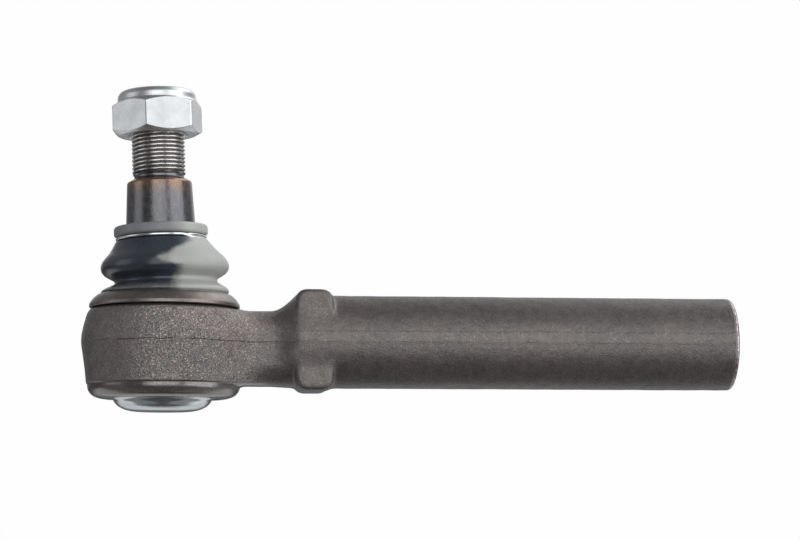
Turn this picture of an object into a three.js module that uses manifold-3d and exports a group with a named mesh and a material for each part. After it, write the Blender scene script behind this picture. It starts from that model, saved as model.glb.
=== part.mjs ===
// Tie rod end: forged housing, ball stud with taper and thread, bearing shells,
// spring and end cap, rubber boot with its two rings, and a lock nut.
// Millimetres. +X runs along the shank to its open end, +Z up the stud.
// The origin is the centre of the shank's open end, on the thread's axis.

import * as THREE from 'three';
import { mergeVertices } from 'three/addons/utils/BufferGeometryUtils.js';
import Module from 'manifold-3d';

// ---- driving dimensions ----------------------------------------------------
const REACH = 215.4;            // ball centre to the shank's open end
const LEAN = 2.39;              // degrees the stud leans at rest, top towards -X

const BALL_R = 17.0;
const NECK_R = 9.0;
const TAPER_Z0 = 41.0;          // large end of the 1:10 taper
const TAPER_R0 = 13.09;
const TAPER_Z1 = 57.5;
const TAPER_SLOPE = 0.05;       // radius lost per mm of height
const THREAD_R = 9.9;           // M20 x 1.5 crests
const STUD_TIP_Z = 93.0;

const NUT_AF = 30.0;            // across flats
const NUT_Z0 = 77.7;
const NUT_Z1 = 94.6;
const NUT_BORE_R = 10.2;
const NUT_TURN = 16.9;          // degrees

const SHANK_R = 17.5;
const LUG_Y = 15.3;
const SHANK_BORE_R = 11.2;      // M24 x 1.5 minor radius
const SHANK_BORE_L = 95.0;

const HEAD_R = 30.9;            // at the forging's parting plane
const CAVITY_R = 21.0;

// ---- helpers ---------------------------------------------------------------
const wasm = await Module();
wasm.setup();

const rad = (d) => (d * Math.PI) / 180;

function solidOf(geometry) {
  let g = geometry.clone();
  g.deleteAttribute('normal');
  g.deleteAttribute('uv');
  g = mergeVertices(g, 1e-4);
  return new wasm.Manifold(new wasm.Mesh({
    numProp: 3,
    vertProperties: new Float32Array(g.attributes.position.array),
    triVerts: new Uint32Array(g.index.array),
  }));
}

function geometryOf(solid) {
  const m = solid.getMesh();
  const g = new THREE.BufferGeometry();
  g.setAttribute('position', new THREE.BufferAttribute(new Float32Array(m.vertProperties), 3));
  g.setIndex(new THREE.BufferAttribute(new Uint32Array(m.triVerts), 1));
  g.computeVertexNormals();
  return g;
}

// A body turned about Z. Points are [radius, z]; the profile closes on itself
// or starts and ends on the axis.
function turned(points, segments) {
  let area = 0;
  for (let i = 0; i < points.length; i++) {
    const [x1, y1] = points[i];
    const [x2, y2] = points[(i + 1) % points.length];
    area += x1 * y2 - x2 * y1;
  }
  const run = area < 0 ? points.slice().reverse() : points.slice();
  const onAxis = run.some((p) => p[0] === 0);
  if (onAxis) {
    // start at the lower axis point and end at the upper one
    const k = run.findIndex((p, i) => p[0] === 0 && run[(i + 1) % run.length][0] > 0);
    run.push(...run.splice(0, k));
  } else {
    run.push(run[0]);
  }
  const g = new THREE.LatheGeometry(run.map((p) => new THREE.Vector2(p[0], p[1])), segments);
  g.rotateX(Math.PI / 2); // the lathe's axis is Y, the part's is Z
  return g;
}

// Points on a circle arc in the [radius, z] plane, by angle in degrees.
function arc(cr, cz, r, a0, a1, n) {
  const out = [];
  for (let i = 0; i <= n; i++) {
    const a = rad(a0 + ((a1 - a0) * i) / n);
    out.push([cr + r * Math.cos(a), cz + r * Math.sin(a)]);
  }
  return out;
}

// A body lofted along X through rounded rectangles [x, zLow, zHigh, halfY, corner].
function lofted(sections, perCorner = 9) {
  const ring = 4 * perCorner;
  const pos = [];
  for (const [x, zl, zh, hy, cr] of sections) {
    const hz = (zh - zl) / 2;
    const zc = (zh + zl) / 2;
    const c = Math.min(cr, hy - 0.1, hz - 0.1); // the straight sides never close to nothing
    for (let q = 0; q < 4; q++) {
      const sy = q === 0 || q === 3 ? 1 : -1;
      const sz = q < 2 ? 1 : -1;
      for (let i = 0; i < perCorner; i++) {
        const a = (q + i / (perCorner - 1)) * (Math.PI / 2);
        pos.push(x, sy * (hy - c) + c * Math.cos(a), zc + sz * (hz - c) + c * Math.sin(a));
      }
    }
  }
  const idx = [];
  const n = sections.length;
  for (let s = 0; s < n - 1; s++) {
    for (let i = 0; i < ring; i++) {
      const a = s * ring + i;
      const b = s * ring + ((i + 1) % ring);
      idx.push(a, b, b + ring, a, b + ring, a + ring);
    }
  }
  const first = pos.length / 3;
  const s0 = sections[0];
  const s1 = sections[n - 1];
  pos.push(s0[0], 0, (s0[1] + s0[2]) / 2, s1[0], 0, (s1[1] + s1[2]) / 2);
  for (let i = 0; i < ring; i++) {
    const j = (i + 1) % ring;
    idx.push(first, j, i);
    idx.push(first + 1, (n - 1) * ring + i, (n - 1) * ring + j);
  }
  const g = new THREE.BufferGeometry();
  g.setAttribute('position', new THREE.Float32BufferAttribute(pos, 3));
  g.setIndex(idx);
  return g;
}

const finish = (color, roughness, metalness) =>
  new THREE.MeshStandardMaterial({ color, roughness, metalness });

const forged = finish(0x68615c, 0.62, 0.75);
const steel = finish(0x6f6c68, 0.38, 0.9);
const zinc = finish(0xd4d7d8, 0.25, 0.95);
const phosphated = finish(0x6c6763, 0.45, 0.8);
const rubber = finish(0x3f464c, 0.5, 0.0);
const acetal = finish(0xe3ded2, 0.55, 0.0);
const springSteel = finish(0x575a5e, 0.35, 0.9);
const nylon = finish(0xe9e6da, 0.5, 0.0);
const nitrile = finish(0x17181a, 0.6, 0.0);

const part = new THREE.Group();
const joint = new THREE.Group();          // everything about the ball centre
joint.position.set(-REACH, 0, 0);
part.add(joint);
const leaning = new THREE.Group();        // everything that leans with the stud
leaning.rotation.y = rad(-LEAN);
joint.add(leaning);

function add(group, name, geometry, material) {
  const mesh = new THREE.Mesh(geometry, material);
  mesh.name = name;
  group.add(mesh);
  return mesh;
}

// ---- housing ---------------------------------------------------------------
{
  const headOutside = [
    [0, -19.0],
    [19.0, -19.0],
    [19.0, -21.6],
    [23.4, -21.6],
    ...arc(23.4, -17.0, 4.6, -80, -10, 6),
    [28.6, -16.2],
    [29.3, -11.0],
    [30.1, -5.2],
    [30.6, -2.2],
    [HEAD_R, -1.6],
    [HEAD_R, 1.6],
    [30.5, 2.4],
    [29.9, 5.6],
    [28.9, 9.8],
    ...arc(26.3, 9.6, 2.4, 5, 85, 5),
    [22.0, 12.0],
    [22.0, 15.3],
    [21.6, 15.6],
    [0, 15.6],
  ];
  const head = solidOf(turned(headOutside, 48));

  const arm = solidOf(lofted([
    [12.0, -16.5, 11.1, 13.6, 9.0],
    [26.0, -16.7, 11.3, 13.6, 9.0],
    [41.0, -16.8, 11.3, 13.8, 9.5],
    [43.2, -16.95, 12.1, 14.3, 10.5],
    [45.4, -17.1, 13.8, 15.2, 12.0],
    [47.2, -17.3, 15.5, 16.2, 14.0],
    [48.8, -17.4, 16.9, 17.0, 16.0],
    [50.4, -SHANK_R, SHANK_R, SHANK_R, SHANK_R],
    [REACH - 2.2, -SHANK_R, SHANK_R, SHANK_R, SHANK_R],
    [REACH - 1.0, -16.9, 16.9, 16.9, 16.9],
    [REACH, -15.5, 15.5, 15.5, 15.5],
  ], 9));
  // the two wrench lugs, above and below the round arm
  const lugs = solidOf(lofted([
    [46.9, -16.6, 16.6, 13.6, 2.2],
    [48.7, -18.5, 18.5, LUG_Y, 2.4],
    [50.3, -18.85, 18.85, LUG_Y, 2.4],
    [59.1, -18.85, 18.85, LUG_Y, 2.4],
    [61.1, -18.2, 18.2, LUG_Y, 2.4],
    [62.7, -16.4, 16.4, 14.0, 2.2],
  ], 5));

  const cavity = [
    [0, -22.5],
    [20.6, -22.5],
    [20.6, -20.6],
    [23.3, -20.6],
    [23.3, -18.2],
    [22.7, -18.2],
    [22.7, -16.6],
    [CAVITY_R, -16.6],
    [CAVITY_R, 3.0],
    [19.7, 8.0],
    [16.4, 11.0],
    [15.7, 12.2],
    [16.6, 15.0],
    [17.2, 16.5],
    [0, 16.5],
  ];
  const bore = new THREE.LatheGeometry([
    new THREE.Vector2(0, REACH - SHANK_BORE_L - 6.5),
    new THREE.Vector2(SHANK_BORE_R, REACH - SHANK_BORE_L),
    new THREE.Vector2(SHANK_BORE_R, REACH - 1.6),
    new THREE.Vector2(12.8, REACH),
    new THREE.Vector2(12.8, REACH + 2),
    new THREE.Vector2(0, REACH + 2),
  ], 32);
  bore.rotateZ(-Math.PI / 2); // the lathe's axis is Y, the shank's is X

  const body = head.add(arm).add(lugs).subtract(solidOf(turned(cavity, 40))).subtract(solidOf(bore));
  add(joint, 'housing', geometryOf(body), forged);
}

// ---- ball stud -------------------------------------------------------------
{
  const low = -Math.asin(16.0 / BALL_R) * 180 / Math.PI;
  const profile = [
    [0, -16.0],
    ...arc(0, 0, BALL_R, low, 55, 13),
    [9.35, 14.9],
    [NECK_R, 16.2],
    [NECK_R, 26.5],
    [9.5, 29.0],
    [10.9, 32.0],
    [12.6, 34.6],
    [TAPER_R0, 35.6],
    [TAPER_R0, TAPER_Z0],
    [TAPER_R0 - TAPER_SLOPE * (TAPER_Z1 - TAPER_Z0), TAPER_Z1],
    [12.2, 59.2],
    [11.9, 59.9],
    [10.2, 60.9],
    [9.45, 61.3],
    [9.35, 62.2],
    [THREAD_R, 63.0],
    [THREAD_R, STUD_TIP_Z - 1.5],
    [8.5, STUD_TIP_Z],
    [0, STUD_TIP_Z],
  ];
  add(leaning, 'ball_stud', turned(profile, 36), steel);
}

// ---- bearing shells --------------------------------------------------------
{
  const r = BALL_R + 0.3;
  const upper = [
    ...arc(0, 0, r, 1.2, 33.2, 5),
    [15.9, 10.7],
    [19.3, 7.7],
    [20.65, 2.95],
    [20.65, 0.36],
  ];
  add(joint, 'upper_ball_seat', turned(upper, 36), acetal);

  const lower = [
    ...arc(0, 0, r, -1.2, -58.6, 8),
    [9.0, -16.2],
    [19.4, -16.2],
    [20.65, -15.0],
    [20.65, -0.36],
  ];
  add(joint, 'lower_ball_seat', turned(lower, 36), acetal);
}

// ---- pressure plate, spring, seal ring, end cap ----------------------------
add(joint, 'pressure_plate', turned([
  [7.2, -16.5], [20.3, -16.5], [20.6, -16.8], [20.6, -17.7], [20.3, -18.0], [7.2, -18.0],
], 32), steel);

{
  class Conical extends THREE.Curve {
    getPoint(t, target = new THREE.Vector3()) {
      const a = t * 2.3 * 2 * Math.PI;
      const r = 9.8 + 3.5 * t;
      return target.set(r * Math.cos(a), r * Math.sin(a), -19.3 - 3.95 * t);
    }
  }
  const section = new THREE.Shape();
  section.absarc(0, 0, 0.95, 0, 2 * Math.PI, false);
  const g = new THREE.ExtrudeGeometry(section, {
    curveSegments: 3, steps: 54, bevelEnabled: false, extrudePath: new Conical(),
  });
  add(joint, 'preload_spring', g, springSteel);
}

add(joint, 'cover_seal_ring', turned(arc(21.85, -17.42, 0.68, 0, 300, 5), 36), nitrile);

add(joint, 'end_cap', turned([
  [0, -24.4],
  [14.6, -24.4],
  [15.8, -23.2],
  [15.8, -18.5],
  [23.0, -18.5],
  [23.0, -20.2],
  [19.4, -20.2],
  [18.5, -20.6],
  [18.3, -21.4],
  [18.2, -22.5],
  [17.3, -23.9],
  [15.6, -25.1],
  [13.2, -26.1],
  [11.6, -26.5],
  [0, -26.5],
], 40), zinc);

// ---- boot and its rings ----------------------------------------------------
{
  const profile = [
    [13.5, 43.1],
    [17.0, 43.1],
    [17.55, 42.6],
    [17.55, 39.9],
    [17.2, 39.5],
    [15.9, 39.4],
    [15.3, 38.8],
    [15.3, 37.9],
    [15.9, 37.2],
    [17.3, 36.1],
    [19.4, 34.3],
    [21.8, 32.0],
    [23.4, 29.8],
    [24.0, 27.9],
    [23.7, 26.4],
    [22.6, 25.0],
    [20.6, 23.6],
    [19.3, 22.7],
    [18.95, 21.9],
    [19.5, 21.3],
    [21.3, 20.4],
    [23.1, 19.4],
    [23.9, 18.5],
    [23.8, 17.8],
    [23.1, 17.4],
    [23.05, 16.4],
    [22.9, 15.95],
    [18.6, 15.95],
    [18.6, 16.6],
    [19.8, 17.2],
    [19.7, 17.9],
    [18.3, 19.4],
    [17.2, 20.6],
    [16.8, 21.9],
    [17.3, 23.3],
    [19.0, 25.1],
    [21.0, 26.6],
    [21.7, 27.9],
    [21.3, 29.1],
    [20.0, 30.8],
    [17.8, 32.9],
    [15.6, 34.8],
    [13.9, 36.4],
    [13.5, 37.2],
  ];
  const g = turned(profile, 30);
  // the boot stands straight on the head and leans with the stud at its top
  const p = g.attributes.position;
  for (let i = 0; i < p.count; i++) {
    const z = p.getZ(i);
    const u = Math.min(1, Math.max(0, (z - 18) / 18));
    const a = rad(-LEAN) * u * u * (3 - 2 * u);
    const x = p.getX(i);
    p.setXYZ(i, x * Math.cos(a) + z * Math.sin(a), p.getY(i), -x * Math.sin(a) + z * Math.cos(a));
  }
  g.computeVertexNormals();
  add(joint, 'dust_boot', g, rubber);
}

add(leaning, 'boot_upper_clamp', turned(arc(16.55, 38.35, 0.72, 0, 315, 7), 36), zinc);

add(joint, 'boot_press_ring', turned([
  [22.35, 12.35],
  [27.7, 12.35],
  [28.0, 12.6],
  [28.0, 13.4],
  [26.8, 15.4],
  [25.2, 16.75],
  [24.4, 17.05],
  [23.6, 16.95],
  [23.4, 15.55],
  [22.35, 15.55],
], 40), phosphated);

// ---- lock nut and its insert -----------------------------------------------
{
  const round = solidOf(turned([
    [11.3, NUT_Z0],
    [14.6, NUT_Z0],
    [17.6, NUT_Z0 + 1.75],
    [17.6, 88.5],
    [17.0, 89.0],
    [16.0, 89.6],
    [15.2, 90.2],
    [14.85, 90.9],
    [14.8, 92.2],
    [14.4, 93.4],
    [13.6, 94.25],
    [12.6, NUT_Z1],
    [12.0, NUT_Z1],
    [11.6, 94.2],
    [11.6, 93.6],
    [12.9, 93.4],
    [12.9, 89.4],
    [NUT_BORE_R, 89.4],
    [NUT_BORE_R, NUT_Z0 + 1.1],
  ], 40));
  const hexagon = new THREE.Shape();
  for (let i = 0; i < 6; i++) {
    const a = rad(-90 - 30 + NUT_TURN + 60 * i);
    const r = NUT_AF / Math.sqrt(3);
    if (i) hexagon.lineTo(r * Math.cos(a), r * Math.sin(a));
    else hexagon.moveTo(r * Math.cos(a), r * Math.sin(a));
  }
  hexagon.closePath();
  const prism = new THREE.ExtrudeGeometry(hexagon, { depth: 20, bevelEnabled: false });
  prism.translate(0, 0, NUT_Z0 - 1);
  add(leaning, 'lock_nut', geometryOf(solidOf(prism).intersect(round)), zinc);
}

add(leaning, 'nut_insert', turned([
  [NUT_BORE_R, 89.9],
  [12.5, 89.9],
  [12.6, 90.1],
  [12.6, 92.9],
  [12.5, 93.1],
  [NUT_BORE_R, 93.1],
], 32), nylon);

export default part;
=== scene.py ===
"""Looks of the tie rod end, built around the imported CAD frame. Sizes below are in millimetres
about the ball's centre (x along the shank, z up the stud) and are turned into the frame's metres."""

import math

import bpy
import numpy as np
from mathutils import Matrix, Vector, noise


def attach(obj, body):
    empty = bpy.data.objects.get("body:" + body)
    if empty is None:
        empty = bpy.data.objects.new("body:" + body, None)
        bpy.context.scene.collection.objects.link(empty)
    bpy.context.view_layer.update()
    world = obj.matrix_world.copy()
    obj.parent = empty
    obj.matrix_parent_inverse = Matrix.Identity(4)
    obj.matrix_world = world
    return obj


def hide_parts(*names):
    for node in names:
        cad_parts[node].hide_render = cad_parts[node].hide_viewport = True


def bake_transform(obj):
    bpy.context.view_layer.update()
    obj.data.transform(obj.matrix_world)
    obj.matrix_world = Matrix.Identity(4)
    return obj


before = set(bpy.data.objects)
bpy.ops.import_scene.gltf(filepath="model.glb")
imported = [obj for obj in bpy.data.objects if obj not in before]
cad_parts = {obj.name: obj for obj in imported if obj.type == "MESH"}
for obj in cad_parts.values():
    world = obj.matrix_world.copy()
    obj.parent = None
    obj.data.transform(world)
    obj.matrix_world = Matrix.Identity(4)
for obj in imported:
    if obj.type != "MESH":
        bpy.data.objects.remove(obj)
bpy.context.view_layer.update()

REACH = 215.4
LEAN = math.radians(2.39)
scene = bpy.context.scene
scene.view_settings.view_transform = "Standard"
rng = np.random.default_rng(7)


# ---------------------------------------------------------------- geometry helpers
def to_row(p):
    p = np.asarray(p, float)
    return (p - [REACH, 0, 0]) / 1000.0


def lean(p, share=1.0):
    """Turns points about Y through the ball's centre by the stud's lean."""
    p = np.asarray(p, float)
    a = -LEAN * share
    c, s = np.cos(a), np.sin(a)
    x, y, z = p[:, 0], p[:, 1], p[:, 2]
    return np.stack([x * c + z * s, y, -x * s + z * c], 1)


def make(name, verts, faces, sharp=None):
    """A mesh object from numpy vertices (row frame, metres) and faces (all quads or all triangles, or a list)."""
    me = bpy.data.meshes.new(name)
    verts = np.asarray(verts, np.float32)
    if isinstance(faces, np.ndarray):
        counts = np.full(len(faces), faces.shape[1])
        flat = faces.ravel()
    else:
        counts = np.array([len(f) for f in faces])
        flat = np.array([i for f in faces for i in f])
    me.vertices.add(len(verts))
    me.vertices.foreach_set("co", verts.ravel())
    me.loops.add(len(flat))
    me.loops.foreach_set("vertex_index", flat.astype(np.int32))
    me.polygons.add(len(counts))
    me.polygons.foreach_set(
        "loop_start", np.concatenate([[0], np.cumsum(counts)[:-1]]).astype(np.int32)
    )
    me.polygons.foreach_set("loop_total", counts.astype(np.int32))
    me.polygons.foreach_set("use_smooth", np.ones(len(counts), bool))
    me.update(calc_edges=True)
    me.validate()
    if sharp:
        me.set_sharp_from_angle(angle=math.radians(sharp))
    ob = bpy.data.objects.new(name, me)
    scene.collection.objects.link(ob)
    return ob


def rounded(points, closed=False, steps=3, most=0.45):
    """Rounds each corner of a [r, z] polyline. A point is (r, z) or (r, z, radius)."""
    pts = [(p[0], p[1], p[2] if len(p) > 2 else 0.0) for p in points]
    out = []
    n = len(pts)
    for i, (r, z, rad) in enumerate(pts):
        if rad <= 0 or (not closed and i in (0, n - 1)):
            out.append((r, z))
            continue
        a = np.array(pts[(i - 1) % n][:2], float)
        b = np.array([r, z], float)
        c = np.array(pts[(i + 1) % n][:2], float)
        u, v = a - b, c - b
        lu, lv = np.linalg.norm(u), np.linalg.norm(v)
        if lu < 1e-6 or lv < 1e-6:
            out.append((r, z))
            continue
        t = min(rad, lu * most, lv * most)
        p0, p1 = b + u / lu * t, b + v / lv * t
        for k in range(steps + 1):
            s = k / steps
            q = (1 - s) ** 2 * p0 + 2 * s * (1 - s) * b + s * s * p1
            out.append(tuple(q))
    return out


def densify(points, step, closed=False):
    """Splits long runs so that no stretch is over step."""
    out = []
    n = len(points)
    last = n if closed else n - 1
    for i in range(last):
        a = np.array(points[i], float)
        b = np.array(points[(i + 1) % n], float)
        k = max(1, int(math.ceil(np.linalg.norm(b - a) / step)))
        for j in range(k):
            out.append(tuple(a + (b - a) * j / k))
    if not closed:
        out.append(tuple(points[-1]))
    return out


def lathe_mesh(points, n, closed):
    """Vertices and faces of a body turned about Z, from a [r, z] run that is closed or ends on the axis.
    Returns vertices, faces and each vertex's row in the run."""
    verts, rows, ring_start = [], [], []
    ang = np.arange(n) * 2 * math.pi / n
    for i, (r, z) in enumerate(points):
        ring_start.append(len(verts))
        if r < 1e-6:
            verts.append((0.0, 0.0, z))
            rows.append(i)
        else:
            for a in ang:
                verts.append((r * math.cos(a), r * math.sin(a), z))
                rows.append(i)
    faces = []
    m = len(points)
    for i in range(m if closed else m - 1):
        j = (i + 1) % m
        a, b = ring_start[i], ring_start[j]
        a1, b1 = points[i][0] < 1e-6, points[j][0] < 1e-6
        for k in range(n):
            k2 = (k + 1) % n
            if a1 and b1:
                continue
            if a1:
                faces.append((a, b + k2, b + k))
            elif b1:
                faces.append((a + k, a + k2, b))
            else:
                faces.append((a + k, a + k2, b + k2, b + k))
    return np.array(verts), faces, np.array(rows)


def run_area(points):
    p = np.array([q[:2] for q in points])
    q = np.roll(p, -1, 0)
    return 0.5 * np.sum(p[:, 0] * q[:, 1] - q[:, 0] * p[:, 1])


def lathe(name, points, n=128, closed=True, place=None, sharp=35):
    """A turned piece. The run is ordered so that its faces point out."""
    pts = list(points)
    if run_area(pts) < 0:
        pts = pts[::-1]
    v, f, _ = lathe_mesh(pts, n, closed)
    if place:
        v = place(v)
    return make(name, to_row(v), f, sharp)


def sweep(name, path, radius, sides=14, taper=2):
    """A closed round wire along a path of points, with rounded ends."""
    path = np.asarray(path, float)
    t = np.gradient(path, axis=0)
    t /= np.linalg.norm(t, axis=1)[:, None]
    up = np.array([0, 0, 1.0])
    u = np.cross(t, up)
    u /= np.linalg.norm(u, axis=1)[:, None]
    w = np.cross(u, t)
    rings = []
    n = len(path)
    for i in range(n):
        rings.append((path[i], u[i], w[i], radius))
    ends = []
    for k in (0.85, 0.5):
        ends.append((k, math.sqrt(1 - k * k)))
    first = [(path[0] - t[0] * radius * k, u[0], w[0], radius * c) for k, c in ends]
    last = [(path[-1] + t[-1] * radius * k, u[-1], w[-1], radius * c) for k, c in ends[::-1]]
    rings = first + rings + last
    verts = []
    for p, a, b, r in rings:
        for s in range(sides):
            q = 2 * math.pi * s / sides
            verts.append(p + a * r * math.cos(q) + b * r * math.sin(q))
    faces = []
    for i in range(len(rings) - 1):
        for s in range(sides):
            s2 = (s + 1) % sides
            faces.append((i * sides + s, (i + 1) * sides + s, (i + 1) * sides + s2, i * sides + s2))
    c0, c1 = len(verts), len(verts) + 1
    verts.append(path[0] - t[0] * radius)
    verts.append(path[-1] + t[-1] * radius)
    base = (len(rings) - 1) * sides
    for s in range(sides):
        s2 = (s + 1) % sides
        faces.append((c0, s, s2))
        faces.append((c1, base + s2, base + s))
    ob = make(name, to_row(np.array(verts)), faces)
    return ob


def volume_sign(ob):
    me = ob.data
    me.calc_loop_triangles()
    co = np.array([v.co for v in me.vertices])
    tri = np.array([t.vertices for t in me.loop_triangles])
    a, b, c = co[tri[:, 0]], co[tri[:, 1]], co[tri[:, 2]]
    return float(np.einsum("ij,ij->i", a, np.cross(b, c)).sum())


def face_out(ob):
    if volume_sign(ob) < 0:
        ob.data.flip_normals()
    return ob


# ---------------------------------------------------------------- materials
def material(name):
    m = bpy.data.materials.new(name)
    m.use_nodes = True
    nt = m.node_tree
    for nd in list(nt.nodes):
        if nd.type == "BSDF_PRINCIPLED":
            p = nd
    return m, nt, p


def node(nt, kind, **values):
    nd = nt.nodes.new(kind)
    for k, v in values.items():
        if k in nd.inputs:
            nd.inputs[k].default_value = v
        else:
            setattr(nd, k, v)
    return nd


def link(nt, a, b):
    nt.links.new(a, b)


def position(nt, scale=1000.0, offset=(REACH, 0, 0)):
    """The surface point at rest in millimetres about the ball's centre, from the object's own coordinates."""
    tc = node(nt, "ShaderNodeTexCoord")
    mp = node(nt, "ShaderNodeMapping")
    mp.inputs["Scale"].default_value = (scale,) * 3
    mp.inputs["Location"].default_value = offset
    link(nt, tc.outputs["Object"], mp.inputs["Vector"])
    return mp.outputs["Vector"]


def noise_tex(nt, vec, scale, detail=4.0, rough=0.55, distortion=0.0):
    n = node(nt, "ShaderNodeTexNoise")
    n.inputs["Scale"].default_value = scale
    n.inputs["Detail"].default_value = detail
    n.inputs["Roughness"].default_value = rough
    n.inputs["Distortion"].default_value = distortion
    link(nt, vec, n.inputs["Vector"])
    return n.outputs["Fac"]


def ramp(nt, fac, stops, mode="LINEAR"):
    r = node(nt, "ShaderNodeValToRGB")
    r.color_ramp.interpolation = mode
    e = r.color_ramp.elements
    while len(e) < len(stops):
        e.new(0.5)
    for i, (p, c) in enumerate(stops):
        e[i].position = p
        e[i].color = (*c, 1.0) if len(c) == 3 else c
    link(nt, fac, r.inputs["Fac"])
    return r.outputs["Color"]


def maths(nt, op, a, b=None, clamp=False):
    m = node(nt, "ShaderNodeMath", operation=op, use_clamp=clamp)
    for i, v in enumerate((a, b)):
        if v is None:
            continue
        if isinstance(v, (int, float)):
            m.inputs[i].default_value = v
        else:
            link(nt, v, m.inputs[i])
    return m.outputs[0]


def mix(nt, fac, a, b, blend="MIX"):
    m = node(nt, "ShaderNodeMix", data_type="RGBA", blend_type=blend)
    ia, ib = m.inputs[6], m.inputs[7]
    if isinstance(fac, (int, float)):
        m.inputs[0].default_value = fac
    else:
        link(nt, fac, m.inputs[0])
    for sock, v in ((ia, a), (ib, b)):
        if isinstance(v, tuple):
            sock.default_value = (*v, 1.0) if len(v) == 3 else v
        else:
            link(nt, v, sock)
    return m.outputs[2]


def map_range(nt, v, a, b, c=0.0, d=1.0, smooth=False):
    m = node(nt, "ShaderNodeMapRange")
    m.interpolation_type = "SMOOTHSTEP" if smooth else "LINEAR"
    m.inputs["From Min"].default_value = a
    m.inputs["From Max"].default_value = b
    m.inputs["To Min"].default_value = c
    m.inputs["To Max"].default_value = d
    link(nt, v, m.inputs["Value"])
    return m.outputs["Result"]


def bump(nt, height, strength, distance, normal=None):
    b = node(nt, "ShaderNodeBump")
    b.inputs["Strength"].default_value = strength
    b.inputs["Distance"].default_value = distance
    link(nt, height, b.inputs["Height"])
    if normal is not None:
        link(nt, normal, b.inputs["Normal"])
    return b.outputs["Normal"]


def separate(nt, vec):
    s = node(nt, "ShaderNodeSeparateXYZ")
    link(nt, vec, s.inputs[0])
    return s.outputs


def combine(nt, x, y, z):
    s = node(nt, "ShaderNodeCombineXYZ")
    for i, v in enumerate((x, y, z)):
        link(nt, v, s.inputs[i])
    return s.outputs[0]


def attribute(nt, name):
    a = node(nt, "ShaderNodeAttribute", attribute_name=name)
    return a.outputs["Fac"]


def set_mat(ob, mat):
    ob.data.materials.clear()
    ob.data.materials.append(mat)


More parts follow.
